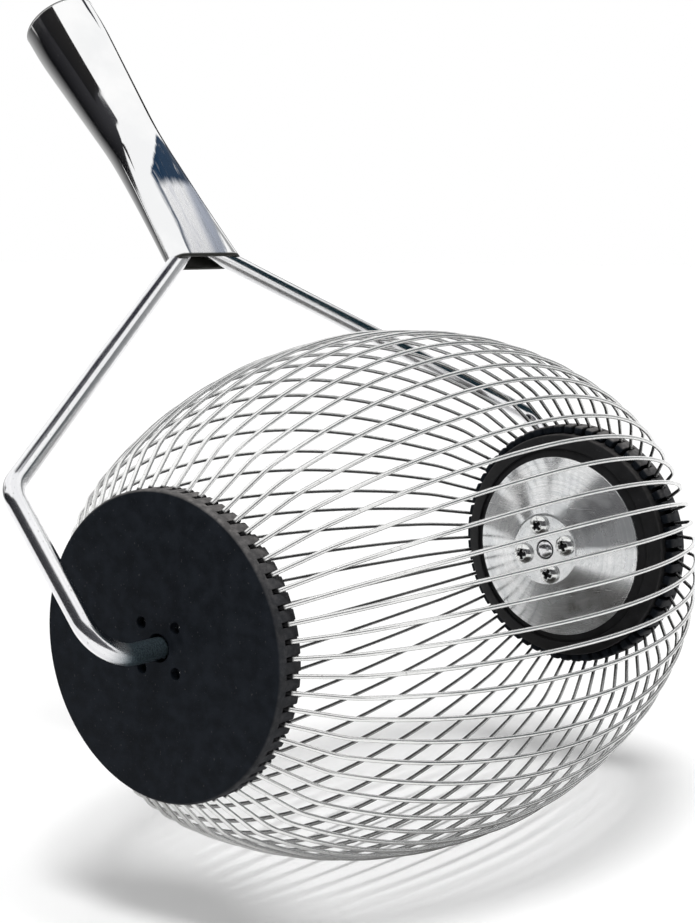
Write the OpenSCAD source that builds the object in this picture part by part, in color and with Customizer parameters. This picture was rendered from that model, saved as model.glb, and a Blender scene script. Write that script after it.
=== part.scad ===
// Nut gatherer head: a cage of sprung wires on two slotted discs, turning on a bent rod fork
// that ends in a socket for a pole. Millimetres, +Z up, +X is the way it is pushed.

/* [Cage] */
// Length of the roller over the outer faces of its two discs
roller_l = 256; // [200:1:320]
// Diameter of the cage at its middle, between the centres of opposite wires
cage_d = 188; // [160:1:210]
// Number of spring wires round the cage
wire_count = 60; // [36:12:72]
// Diameter of each spring wire
wire_d = 1.5; // [1.2:0.1:2]
// Angle in degrees between a wire's straight end and the axle
wire_splay = 46; // [40:1:54]
// Length of a wire's straight splayed end
wire_straight = 19; // [14:1:26]
// Bend radius where a straight end runs into the long arc
shoulder_r = 25; // [12:1:30]
// Bend radius where a straight end turns into the tail under the clamp
tail_bend_r = 3; // [2:0.5:3.5]
// Length of a wire's tail under the clamp
tail_l = 10; // [6:0.5:14]
// Length of the tail that shows between the clamp and its bend
tail_show = 0.4; // [0.2:0.1:1]

/* [Discs] */
// Outer diameter of each disc
disc_d = 100; // [94:1:112]
// Thickness of the disc's plain flange
flange_t = 4.5; // [3.5:0.5:7]
// Length of the teeth between the wire slots, beyond the flange
tooth_l = 6; // [4:0.5:9]
// Radial width of the ring of teeth
tooth_w = 3.3; // [2.5:0.1:5]
// Rounding of the disc's outer edge
rim_round = 1.2; // [0.4:0.1:2]
// Rounding of the tooth tips
tip_round = 1.6; // [0.4:0.1:2]
// Diameter of the open hole round the axle in the disc
axle_hole_d = 9; // [8:0.5:12]

/* [Clamps] */
// Height of the clamp cone's straight side above the flange
clamp_h = 8.6; // [6.5:0.1:12]
// Slope in degrees of the clamp cone and of the plate on it
clamp_slope = 23.5; // [12:0.5:28]
// Diameter of the cone plate
plate_d = 74.6; // [62:0.2:80]
// Thickness of the cone plate
plate_t = 1.1; // [0.6:0.1:2]
// Open ring between the plate's edge and the side of its recess
plate_margin = 3.2; // [1:0.1:4]
// Diameter of the flat in the middle of the plate
plate_flat_d = 29.2; // [28:0.2:36]

/* [Screws] */
// Diameter of the circle that the screws stand on
screw_circle_d = 20.4; // [18:0.2:20.8]
// Shank diameter of the screws
screw_d = 4; // [3:0.5:5]
// Head diameter of the screws
screw_head_d = 7.6; // [6:0.2:8]
// Head height of the screws
screw_head_h = 2.6; // [2:0.1:3.5]
// Rounding of the screw heads
screw_head_round = 1.4; // [0.5:0.1:1.8]
// Length over the cross recess in a screw head
cross_l = 4.4; // [3:0.2:5]
// Width of the cross recess in a screw head
cross_w = 1; // [0.6:0.1:1.4]
// Depth of the cross recess in a screw head
cross_depth = 1.4; // [0.8:0.1:1.6]
// Depth of the screw tips under the disc's outer face
screw_tip_depth = 2; // [1:0.5:3]
// Angle in degrees of the right hub's first screw from the forward direction
screw_angle = 45; // [0:5:85]
// Angle in degrees of the left hub's first screw from the forward direction
left_screw_angle = 15; // [0:5:85]

/* [Fork] */
// Diameter of the fork rod
rod_d = 7; // [6:0.5:8]
// Angle in degrees of the fork above the floor, as set down
fork_lean = 51; // [30:1:75]
// Distance from a disc's outer face to the middle of the arm beside it
arm_gap = 24; // [20:1:34]
// Distance from the axle to the corner of each arm
corner_reach = 63.4; // [52:0.2:80]
// Distance from the cage to the lip of the socket
socket_gap = 57; // [45:1:80]
// Bend radius between stub and arm
stub_bend_r = 14; // [10:1:18]
// Bend radius at the corner of each arm
corner_bend_r = 10; // [8:1:20]
// Bend radius of the bridge inside the socket
bridge_r = 8; // [6:1:12]
// Distance that the middle of the bridge reaches into the socket
bridge_in = 8.6; // [7:0.2:11]
// Length of rod that stands out of the cone plate
stub_show = 1.2; // [0.8:0.2:3]
// Bevel at the ends of the rod
stub_bevel = 0.6; // [0.2:0.1:0.8]

/* [Socket] */
// Diameter of the pole that the socket takes
pole_d = 28; // [24:0.5:32]
// Length of the straight pole seat at the mouth
seat_l = 12; // [8:1:20]
// Length of the socket from lip to mouth
socket_l = 124.6; // [100:0.2:180]
// Outer diameter of the socket's waist
waist_d = 23.2; // [20:0.2:26]
// Place of the waist between lip and mouth
waist_share = 0.5; // [0.4:0.05:0.6]
// Width over the flattened lip
lip_w = 39.2; // [36:0.2:48]
// Sheet thickness of the socket
sheet_t = 1.2; // [0.8:0.1:1.6]

/* [Fits] */
// Radial running clearance between the rod and the clamp cones
axle_fit = 0.05; // [0.02:0.01:0.1]
// Clearance above and below a wire tail in its groove
tail_fit = 0.05; // [0.02:0.01:0.2]
// Clearance on each side of a wire in its slot
slot_fit = 0.1; // [0.08:0.01:0.3]
// Clearance past the end of a wire tail in its groove
tail_end_fit = 0.5; // [0.2:0.1:1]
// Gap between the side of the clamp cone and the teeth
clamp_fit = 0.3; // [0.2:0.05:0.6]
// Clearance round each screw shank in the disc
thread_fit = 0.04; // [0.02:0.01:0.1]
// Clearance round each screw shank in the plate and the clamp cone
shank_fit = 0.15; // [0.1:0.05:0.3]
// Clearance under the sloping part of the cone plate
plate_fit = 0.08; // [0.05:0.01:0.2]
// Clearance round the rod in the hole of the cone plate
plate_hole_fit = 0.5; // [0.3:0.1:1]
// Clearance between the socket's sheet and the rod closed in it
crimp_fit = 0.06; // [0.03:0.01:0.15]
// Radial clearance of the pole in its seat
pole_fit = 0.1; // [0.05:0.01:0.3]

/* [Hidden] */
WIRE_NODES = ["wires_01", "wires_02", "wires_03", "wires_04", "wires_05", "wires_06",
              "wires_07", "wires_08", "wires_09", "wires_10", "wires_11", "wires_12"];

// Overrun of every cut past the face it opens
cut = 1;
// Height of the thin ends that a hull is stretched between
hull_edge = 0.05;
// Straight bar runs this far into a bend, and the bend is this much thicker all round
run_in = 0.1;
bend_lap = 0.02;
// Facets of round shapes, of wires and of the shapes inside a hull
round_fn = 96;
wire_fn = 36;
hull_fn = 48;
$fn = round_fn;

half_l = roller_l / 2;
cage_r = cage_d / 2;
wire_r = wire_d / 2;
disc_r = disc_d / 2;
rod_r = rod_d / 2;
plate_r = plate_d / 2;
flat_r = plate_flat_d / 2;
pitch = 360 / wire_count;
function wire_angle(i) = pitch * i + pitch / 2;

// Radii, slot and heights in a hub, the heights measured inwards from the disc's outer face
clamp_r = disc_r - tooth_w - clamp_fit;
recess_r = plate_r + plate_margin;
slot_w = wire_d + 2 * slot_fit;
groove_z = flange_t - wire_d - 2 * tail_fit;
tail_z = groove_z + tail_fit + wire_r;
tooth_z = flange_t + tooth_l;
clamp_z = flange_t + clamp_h;
function slope_z(r) = clamp_z + (clamp_r - r) * tan(clamp_slope);
top_z = slope_z(flat_r);
plate_seat_z = top_z - plate_t;
plate_drop = plate_t / cos(clamp_slope);
recess_drop = (plate_t + plate_fit) / cos(clamp_slope);
under_flat_r = flat_r - (plate_drop - plate_t) / tan(clamp_slope);
seat_flat_r = flat_r - (recess_drop - plate_t) / tan(clamp_slope);

// Centre line of a wire, from the tail's corner over the shoulder to the long arc:
// the arc's radius follows from the shoulder's centre and the cage's radius at the middle
tail_turn = tail_bend_r * tan((90 - wire_splay) / 2);
tail_out_r = clamp_r + tail_show;
tail_in_r = tail_out_r - tail_l;
corner_r = tail_out_r + tail_turn;
tail_y = half_l - tail_z;
straight_dir = [sin(wire_splay), -cos(wire_splay)];
straight_start = [corner_r, tail_y] + tail_turn * straight_dir;
straight_end = [corner_r, tail_y] + wire_straight * straight_dir;
shoulder_mid_r = straight_end.x - shoulder_r * cos(wire_splay);
shoulder_mid_y = straight_end.y - shoulder_r * sin(wire_splay);
sink = cage_r - shoulder_mid_r;
crown_r = (shoulder_mid_y ^ 2 + sink ^ 2 - shoulder_r ^ 2) / (2 * (sink - shoulder_r));
crown_half = asin(shoulder_mid_y / (crown_r - shoulder_r));
crown_end = crown_half + atan(run_in / crown_r);
crown_mid_r = cage_r - crown_r;

// Centre line of the fork, in its own plane: reach from the axle, and distance from the middle
arm_y = half_l + arm_gap;
stub_y = half_l - top_z - stub_show;
lip_reach = cage_r + wire_r + socket_gap;
bridge_reach = lip_reach + bridge_in - bridge_r;
bridge_rise = bridge_reach - corner_reach;
rise = atan2(bridge_rise, arm_y) + asin(bridge_r / norm([bridge_rise, arm_y]));
corner_start = corner_reach - corner_bend_r * tan((90 - rise) / 2);
rise_dir = [cos(rise), sin(rise)];
upper_start = [corner_start, arm_y - corner_bend_r] + corner_bend_r * rise_dir;
upper_end = [bridge_reach, 0] + bridge_r * rise_dir;

// Sizes of the socket, measured along its axis from the lip
mouth_r = pole_d / 2 + pole_fit + sheet_t;
waist_r = waist_d / 2;
lip_r = rod_r + crimp_fit + sheet_t;
lip_mid = lip_w / 2 - lip_r;
waist_z = socket_l * waist_share;
seat_z = socket_l - seat_l;

// Place of the axle, so that the part stands on the floor with its box centred on the origin
cage_reach = cage_r * cos(pitch / 2) + wire_r;
mouth_reach = lip_reach + socket_l;
back_reach = max(cage_reach, mouth_reach * cos(fork_lean) + mouth_r * sin(fork_lean));
axle_pos = [(back_reach - cage_reach) / 2, 0, cage_reach];

// Stands a hub's shapes on the right disc's outer face, pointing inwards
module right_hub() {
    translate(axle_pos - [0, half_l, 0]) rotate([-90, 0, 0]) children();
}

// Stands a hub's shapes on the left disc's outer face, pointing inwards
module left_hub() {
    translate(axle_pos + [0, half_l, 0]) rotate([90, 0, 0]) children();
}

// Turns shapes drawn in the fork's plane, reach along X, to the fork's lean
module fork_plane() {
    translate(axle_pos) rotate([0, fork_lean - 180, 0]) children();
}

// Repeats a shape at the four screws
module at_screws(angle) {
    for (i = [0 : 3]) rotate(angle + 90 * i) translate([screw_circle_d / 2, 0, 0]) children();
}

// Square in the profile of a turned shape, with one rounded outer corner at its top
module rounded_profile(w, h, r) {
    square([w - r, h]);
    square([w, h - r]);
    translate([w - r, h - r]) intersection() {
        circle(r);
        translate([-run_in, -run_in]) square(r + run_in);
    }
}

// Straight round bar between two points of a plane, running on a little at both ends
module bar(a, b, d) {
    way = b - a;
    translate([a.x, a.y, 0]) rotate(atan2(way.y, way.x)) rotate([0, 90, 0])
        translate([0, 0, -run_in]) cylinder(h = norm(way) + 2 * run_in, d = d);
}

// Arc of round bar about a centre in a plane
module arc(centre, r, from, to, d) {
    translate([centre.x, centre.y, 0]) rotate(from) rotate_extrude(angle = to - from)
        translate([r, 0]) circle(d = d);
}

// Bend that takes in the ends of the bars beside it
module bend(centre, r, from, to, d) {
    arc(centre, r, from, to, d + 2 * bend_lap);
}

// Moulded disc: plain flange, ring of teeth with a slot for each wire, grooves for the wire tails
module disc(angle) {
    color([0.12, 0.13, 0.15]) difference() {
        union() {
            rotate_extrude() translate([0, flange_t]) mirror([0, 1])
                rounded_profile(disc_r, flange_t, rim_round);
            rotate_extrude() difference() {
                translate([0, rim_round]) rounded_profile(disc_r, tooth_z - rim_round, tip_round);
                square([clamp_r + clamp_fit, tooth_z + cut]);
            }
        }
        translate([0, 0, -cut]) cylinder(h = tooth_z + 2 * cut, d = axle_hole_d);
        at_screws(angle) translate([0, 0, -cut])
            cylinder(h = tooth_z + 2 * cut, d = screw_d + 2 * thread_fit);
        for (i = [0 : wire_count - 1]) rotate(wire_angle(i))
            translate([tail_in_r - tail_end_fit, -slot_w / 2, groove_z])
                cube([disc_r + cut - tail_in_r + tail_end_fit, slot_w, tooth_z + cut - groove_z]);
    }
}

// Moulded cone that holds the wire tails down and runs on the rod, with a recess for the plate
module clamp_cone(angle) {
    bore_r = rod_r + axle_fit;
    color([0.08, 0.08, 0.09]) difference() {
        rotate_extrude() polygon([
            [bore_r, flange_t], [clamp_r, flange_t], [clamp_r, clamp_z],
            [recess_r, slope_z(recess_r)], [recess_r, slope_z(recess_r) - recess_drop],
            [seat_flat_r, plate_seat_z], [bore_r, plate_seat_z]]);
        at_screws(angle) cylinder(h = top_z + cut, d = screw_d + 2 * shank_fit);
    }
}

// Pressed steel cone that lies in the clamp cone's recess, flush with the cone round it
module cone_plate(angle) {
    hole_r = rod_r + plate_hole_fit;
    color([0.7, 0.72, 0.74]) difference() {
        rotate_extrude() polygon([
            [hole_r, plate_seat_z], [under_flat_r, plate_seat_z],
            [plate_r, slope_z(plate_r) - plate_drop], [plate_r, slope_z(plate_r)],
            [flat_r, top_z], [hole_r, top_z]]);
        at_screws(angle) cylinder(h = top_z + cut, d = screw_d + 2 * shank_fit);
    }
}

// Four pan-head screws with cross recesses
module screws(angle) {
    color([0.8, 0.8, 0.78]) at_screws(angle) {
        translate([0, 0, screw_tip_depth]) cylinder(h = top_z - screw_tip_depth, d = screw_d);
        translate([0, 0, top_z]) difference() {
            rotate_extrude() rounded_profile(screw_head_d / 2, screw_head_h, screw_head_round);
            for (a = [0, 90]) rotate(a)
                translate([-cross_l / 2, -cross_w / 2, screw_head_h - cross_depth])
                    cube([cross_l, cross_w, cross_depth + cut]);
        }
    }
}

// One end of a spring wire: shoulder bend, straight end, tail bend and tail
module wire_end() {
    bend([shoulder_mid_r, shoulder_mid_y], shoulder_r, crown_half, wire_splay, wire_d);
    bar(straight_end, straight_start, wire_d);
    bend([tail_out_r, tail_y - tail_bend_r], tail_bend_r, wire_splay, 90, wire_d);
    bar([tail_out_r, tail_y], [tail_in_r, tail_y], wire_d);
}

// Spring wire with the radius from the axle along X: one long arc between two like ends
module wire() {
    arc([crown_mid_r, 0], crown_r, -crown_end, crown_end, wire_d);
    wire_end();
    mirror([0, 1, 0]) wire_end();
}

// The wires of one group, side by side round the cage
module wires(group) {
    color([0.78, 0.79, 0.80]) translate(axle_pos)
        for (i = [0 : wire_count - 1]) if (floor(i * len(WIRE_NODES) / wire_count) == group)
            rotate([0, -wire_angle(i), 0]) wire($fn = wire_fn);
}

// Part of the fork that the socket closes over: the bridge and the two upper arms
module fork_top(d) {
    bend([bridge_reach, 0], bridge_r, -rise, rise, d);
    bar(upper_start, upper_end, d);
    mirror([0, 1, 0]) bar(upper_start, upper_end, d);
}

// One side of the fork: bevelled stub, stub bend, arm and corner bend
module fork_side() {
    stub_l = arm_y - stub_bend_r - stub_y + run_in;
    translate([0, stub_y, 0]) rotate([-90, 0, 0]) rotate_extrude() polygon([
        [0, 0], [rod_r - stub_bevel, 0], [rod_r, stub_bevel], [rod_r, stub_l], [0, stub_l]]);
    bend([stub_bend_r, arm_y - stub_bend_r], stub_bend_r, 90, 180, rod_d);
    bar([stub_bend_r, arm_y], [corner_start, arm_y], rod_d);
    bend([corner_start, arm_y - corner_bend_r], corner_bend_r, rise, 90, rod_d);
}

// Bent rod: two stubs, two arms and the bridge, all one bar
module fork_rod() {
    color([0.75, 0.76, 0.78]) fork_plane() {
        fork_top(rod_d);
        fork_side();
        mirror([0, 1, 0]) fork_side();
    }
}

// Flattening lower half of the socket, drawn outside or inside of the sheet, and run on below the lip
module flat_half(inset, run_on) {
    hull() {
        translate([0, 0, waist_z - hull_edge])
            cylinder(h = hull_edge, r = waist_r - inset, $fn = hull_fn);
        for (side = [-1, 1]) translate([0, side * lip_mid, -run_on])
            cylinder(h = hull_edge + run_on, r = lip_r - inset, $fn = hull_fn);
    }
}

// Sheet socket: straight pole seat, cone, and a half that flattens to close over the rod
module socket() {
    color([0.80, 0.81, 0.83]) fork_plane() difference() {
        translate([lip_reach, 0, 0]) rotate([0, 90, 0]) difference() {
            union() {
                translate([0, 0, seat_z]) cylinder(h = seat_l, r = mouth_r);
                translate([0, 0, waist_z]) cylinder(h = seat_z - waist_z, r1 = waist_r, r2 = mouth_r);
                flat_half(0, 0);
            }
            translate([0, 0, seat_z]) cylinder(h = seat_l + cut, r = mouth_r - sheet_t);
            translate([0, 0, waist_z])
                cylinder(h = seat_z - waist_z, r1 = waist_r - sheet_t, r2 = mouth_r - sheet_t);
            flat_half(sheet_t, cut);
        }
        fork_top(rod_d + 2 * crimp_fit);
    }
}

socket();
fork_rod();
right_hub() disc(screw_angle);  // right_disc
right_hub() clamp_cone(screw_angle);  // right_clamp_cone
right_hub() cone_plate(screw_angle);  // right_cone_plate
right_hub() screws(screw_angle);  // right_screws
left_hub() disc(left_screw_angle);  // left_disc
left_hub() clamp_cone(left_screw_angle);  // left_clamp_cone
left_hub() cone_plate(left_screw_angle);  // left_cone_plate
left_hub() screws(left_screw_angle);  // left_screws
for (group = [0 : len(WIRE_NODES) - 1])
    wires(group);
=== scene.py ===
import math

import bmesh
import bpy
import numpy as np
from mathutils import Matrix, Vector


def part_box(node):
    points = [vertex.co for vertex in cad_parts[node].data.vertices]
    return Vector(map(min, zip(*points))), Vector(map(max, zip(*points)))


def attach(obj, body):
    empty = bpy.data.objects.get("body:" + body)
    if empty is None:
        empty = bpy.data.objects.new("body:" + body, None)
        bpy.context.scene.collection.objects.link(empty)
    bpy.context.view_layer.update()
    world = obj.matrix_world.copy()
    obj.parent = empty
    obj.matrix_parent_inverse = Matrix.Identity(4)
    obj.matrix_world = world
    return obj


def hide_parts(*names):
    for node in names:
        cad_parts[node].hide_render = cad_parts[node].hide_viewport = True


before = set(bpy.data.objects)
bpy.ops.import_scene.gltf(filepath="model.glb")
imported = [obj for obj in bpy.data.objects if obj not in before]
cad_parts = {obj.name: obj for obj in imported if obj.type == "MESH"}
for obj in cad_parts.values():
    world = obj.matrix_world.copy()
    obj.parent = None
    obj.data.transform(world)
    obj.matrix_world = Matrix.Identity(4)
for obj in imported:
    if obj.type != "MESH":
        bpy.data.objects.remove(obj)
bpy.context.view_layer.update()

# every length below is in millimetres about the axle, and metres only in the meshes
mm = 0.001
discLow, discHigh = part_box("right_disc")
axle = np.array([(discLow.x + discHigh.x) / 2, 0.0, (discLow.z + discHigh.z) / 2])
forkLean = math.radians(51)
reachDir = np.array([-math.cos(forkLean), 0.0, math.sin(forkLean)])  # along the fork, to the pole
faceDir = np.array([math.sin(forkLean), 0.0, math.cos(forkLean)])  # out of the socket's flat front
sideDir = np.array([0.0, 1.0, 0.0])  # along the axle, to the left hub


# point of the fork's own plane: reach times its direction, plus side along the axle, plus face
def onFork(reach, side, face):
    way = reach[..., None] * reachDir + side[..., None] * sideDir + face[..., None] * faceDir
    return axle + mm * way


# point of a hub: radius and angle about the axle, height measured inwards from the disc's outer face
def onHub(hub, radius, angle, height):
    x, z = radius * np.cos(angle), radius * np.sin(angle)
    y = hub["sign"] * (hub["half"] - height)
    return axle + mm * np.stack(np.broadcast_arrays(x, y, z), -1)


# quads between neighbouring rows and columns of a grid (batch, rows, columns); rows or columns may
# wrap round to the first, the quads are turned so that the volume they enclose is positive
def surfacePiece(name, points, wrapRows=False, wrapCols=False, uv=None, sharp=40, recess=None):
    batch, rows, cols = points.shape[:3]
    b, r, c = np.meshgrid(np.arange(batch), np.arange(rows if wrapRows else rows - 1),
                          np.arange(cols if wrapCols else cols - 1), indexing="ij")
    corners = [(0, 0), (0, 1), (1, 1), (1, 0)]
    quads = np.stack([(b * rows + (r + i) % rows) * cols + (c + j) % cols for i, j in corners], -1)
    flat = points.reshape(-1, 3)
    p = flat[quads.reshape(-1, 4)]
    volume = np.sum(p[:, 0] * np.cross(p[:, 1] - p[:, 0], p[:, 2] - p[:, 0]))
    volume += np.sum(p[:, 0] * np.cross(p[:, 2] - p[:, 0], p[:, 3] - p[:, 0]))
    order = [0, 1, 2, 3] if volume > 0 else [3, 2, 1, 0]
    faces = quads.reshape(-1, 4)[:, order]
    mesh = bpy.data.meshes.new(name)
    mesh.from_pydata(flat.tolist(), [], faces.tolist())
    if uv is not None:  # along the rows in the first, round the columns in the second
        along, around = uv
        u = np.stack([along[b, r + i] for i, j in corners], -1)
        v = np.stack([around * (c + j) / cols for i, j in corners], -1)
        loops = np.stack([u, v], -1).reshape(-1, 4, 2)[:, order]
        mesh.uv_layers.new(name="along").data.foreach_set("uv", loops.astype(np.float32).ravel())
    if recess is not None:  # how deep in a recess each point lies, for the painted shade in the material
        deep = np.ascontiguousarray(recess, np.float32).ravel()
        mesh.attributes.new("recess", "FLOAT", "POINT").data.foreach_set("value", deep)
    work = bmesh.new()
    work.from_mesh(mesh)
    bmesh.ops.remove_doubles(work, verts=work.verts, dist=1e-7)  # closes the poles
    work.to_mesh(mesh)
    work.free()
    mesh.polygons.foreach_set("use_smooth", np.ones(len(mesh.polygons), bool))
    mesh.set_sharp_from_angle(angle=math.radians(sharp))
    piece = bpy.data.objects.new(name, mesh)
    bpy.context.scene.collection.objects.link(piece)
    return piece


# straight run of a path in a plane: points from start to end, and its direction at each
def lineRun(start, end, count):
    start, end = np.array(start, float), np.array(end, float)
    way = (end - start) / np.linalg.norm(end - start)
    points = start + np.linspace(0, 1, count)[:, None] * (end - start)
    return points, np.repeat(way[None], count, 0)


# bend of a path in a plane: a circle's arc about a centre between two angles in degrees
def arcRun(centre, radius, fromDeg, toDeg, count):
    t = np.radians(np.linspace(fromDeg, toDeg, count))
    ring = np.stack([np.cos(t), np.sin(t)], -1)
    turn = np.sign(toDeg - fromDeg)
    return np.array(centre) + radius * ring, turn * np.stack([-ring[:, 1], ring[:, 0]], -1)


# runs of a half path joined, then the same path mirrored in its second axis, without double points
def mirroredPath(runs):
    points = np.concatenate([run[0][(1 if k else 0):] for k, run in enumerate(runs)])
    ways = np.concatenate([run[1][(1 if k else 0):] for k, run in enumerate(runs)])
    back = points[-2::-1] * [1, -1]
    backWays = ways[-2::-1] * [-1, 1]
    return np.concatenate([points, back]), np.concatenate([ways, backWays])


# circle of a given radius carried along a path: across the path in its plane, and out of the plane
def tubeGrid(points, ways, radius, sides):
    t = np.linspace(0, 2 * math.pi, sides, endpoint=False)
    across = np.stack([-ways[:, 1], ways[:, 0]], -1)
    first = points[:, None] + (radius[:, None] * np.cos(t))[..., None] * across[:, None]
    return first[..., 0], first[..., 1], radius[:, None] * np.sin(t)


# distance walked along a path, in metres
def walked(points):
    steps = np.linalg.norm(np.diff(points, axis=0), axis=1)
    return mm * np.concatenate([[0], np.cumsum(steps)])


# closed outline with its corners rounded: each corner is an arc between the points a tangent length
# before and after it, and stays a point where its radius is nothing
def roundedLoop(corners, radii, steps):
    pts = np.array(corners, float)
    loop = []
    for k, radius in enumerate(radii):
        here, before, after = pts[k], pts[k - 1], pts[(k + 1) % len(pts)]
        if not radius:
            loop.append(here[None])
            continue
        a = (before - here) / np.linalg.norm(before - here)
        b = (after - here) / np.linalg.norm(after - here)
        half = math.acos(np.clip(a @ b, -1, 1)) / 2
        mid = here + radius / math.sin(half) * (a + b) / np.linalg.norm(a + b)
        start, end = here + a * radius / math.tan(half), here + b * radius / math.tan(half)
        t = np.linspace(0, 1, steps)[:, None]
        arc = (1 - t) * (start - mid) + t * (end - mid)
        loop.append(mid + radius * arc / np.linalg.norm(arc, axis=1)[:, None])
    return np.concatenate(loop)


# material, body, replaced CAD node and material slot of a finished piece
def settlePiece(piece, material, body, node):
    piece.data.materials.clear()
    piece.data.materials.append(material)
    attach(piece, body)
    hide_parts(node)


# shader node with its inputs set or linked
def add(tree, kind, inputs=None, **props):
    made = tree.nodes.new("ShaderNode" + kind)
    for key, value in props.items():
        setattr(made, key, value)
    for key, value in (inputs or {}).items():
        socket = made.inputs[key]
        if isinstance(value, bpy.types.NodeSocket):
            tree.links.new(value, socket)
        else:
            socket.default_value = value
    return made


def maths(tree, operation, a, b=0.0):
    return add(tree, "Math", {0: a, 1: b}, operation=operation).outputs[0]


def remap(tree, value, fromLow, fromHigh, toLow, toHigh):
    made = add(tree, "MapRange", {"Value": value, "From Min": fromLow, "From Max": fromHigh,
                                  "To Min": toLow, "To Max": toHigh})
    made.interpolation_type = "SMOOTHSTEP"
    return made.outputs[0]


def mixColour(tree, share, a, b):
    made = add(tree, "Mix", {0: share, 6: a, 7: b}, data_type="RGBA")
    return made.outputs[2]


def noise(tree, where, scale, detail=3.0, rough=0.5):
    made = add(tree, "TexNoise", {"Vector": where, "Scale": scale, "Detail": detail,
                                  "Roughness": rough})
    return made.outputs["Fac"]


def grey(value, alpha=1.0):
    return (value, value, value, alpha)


# low and high value of a noise between which a mark or a tone grows
noiseSpan = {"broad": (0.30, 0.70), "even": (0.35, 0.65), "haze": (0.35, 0.70), "dust": (0.38, 0.72),
             "fleck": (0.70, 0.78), "speck": (0.68, 0.76), "worn": (0.30, 0.58), "blueReflection": (0.55, 0.75),
             "scratch": (0.66, 0.74)}


# distance from the axle's line
def axleRadius(tree, x, z):
    squares = maths(tree, "ADD", maths(tree, "MULTIPLY", x, x), maths(tree, "MULTIPLY", z, z))
    return maths(tree, "SQRT", squares)


# empty material with its shader, and the piece's own coordinates measured from the axle
def startMaterial(name):
    material = bpy.data.materials.new(name)
    material.use_nodes = True
    tree = material.node_tree
    tree.nodes.clear()
    shader = add(tree, "BsdfPrincipled")
    add(tree, "OutputMaterial", {"Surface": shader.outputs[0]})
    where = add(tree, "TexCoord")
    centred = add(tree, "Mapping", {"Vector": where.outputs["Object"],
                                    "Location": tuple(-axle)}).outputs[0]
    return material, tree, shader, centred, where


def finishMaterial(tree, shader, colour, roughness, height=None, bump=0.2, depth=0.0001):
    tree.links.new(colour, shader.inputs["Base Color"])
    tree.links.new(roughness, shader.inputs["Roughness"])
    if height is not None:
        made = add(tree, "Bump", {"Height": height, "Strength": bump, "Distance": depth})
        tree.links.new(made.outputs[0], shader.inputs["Normal"])


# moulded plastic: dark, fine grain, dusty where it is handled and knocked at the rim, the dust strongest
# towards the top as painted light from above
def plasticMaterial(name, look):
    material, tree, shader, centred = startMaterial(name)[:4]
    x, y, z = add(tree, "SeparateXYZ", {0: centred}).outputs
    radius = axleRadius(tree, x, z)
    mottle = noise(tree, centred, look["mottleScale"], 4.0)
    grain = noise(tree, centred, look["grainScale"], 2.0, 0.6)
    base = mixColour(tree, remap(tree, mottle, *noiseSpan["broad"], 0, 1), look["dark"], look["pale"])
    dusty = noise(tree, centred, look["dustScale"], 5.0, 0.65)
    dustPatch = remap(tree, dusty, *noiseSpan["dust"], look["dustThin"], 1)
    topLightFrom = look["dustFrom"] * look["topLightShare"] * mm  # painted light: the rim's dust is strongest towards the top, standing in for light from above
    paintedTopLight = remap(tree, z, topLightFrom, look["dustTo"] * mm, look["topLightLow"], 1)
    rim = remap(tree, radius, look["dustFrom"] * mm, look["dustTo"] * mm, 0, look["dustShare"])
    dustAndTopLight = maths(tree, "MULTIPLY", maths(tree, "MULTIPLY", rim, dustPatch), paintedTopLight)
    dustedAndLit = mixColour(tree, dustAndTopLight, base, look["dust"])
    flecks = noise(tree, centred, look["fleckScale"], 1.0)
    fleck = remap(tree, flecks, *noiseSpan["fleck"], 0, look["fleckShare"])
    colour = mixColour(tree, fleck, dustedAndLit, look["dust"])
    uneven = remap(tree, mottle, *noiseSpan["broad"], 0, look["roughSpread"])
    roughness = maths(tree, "ADD", uneven, look["rough"])
    finishMaterial(tree, shader, colour, roughness, grain, look["bump"], look["depth"])
    shader.inputs["Specular IOR Level"].default_value = look["gloss"]
    return material


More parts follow.
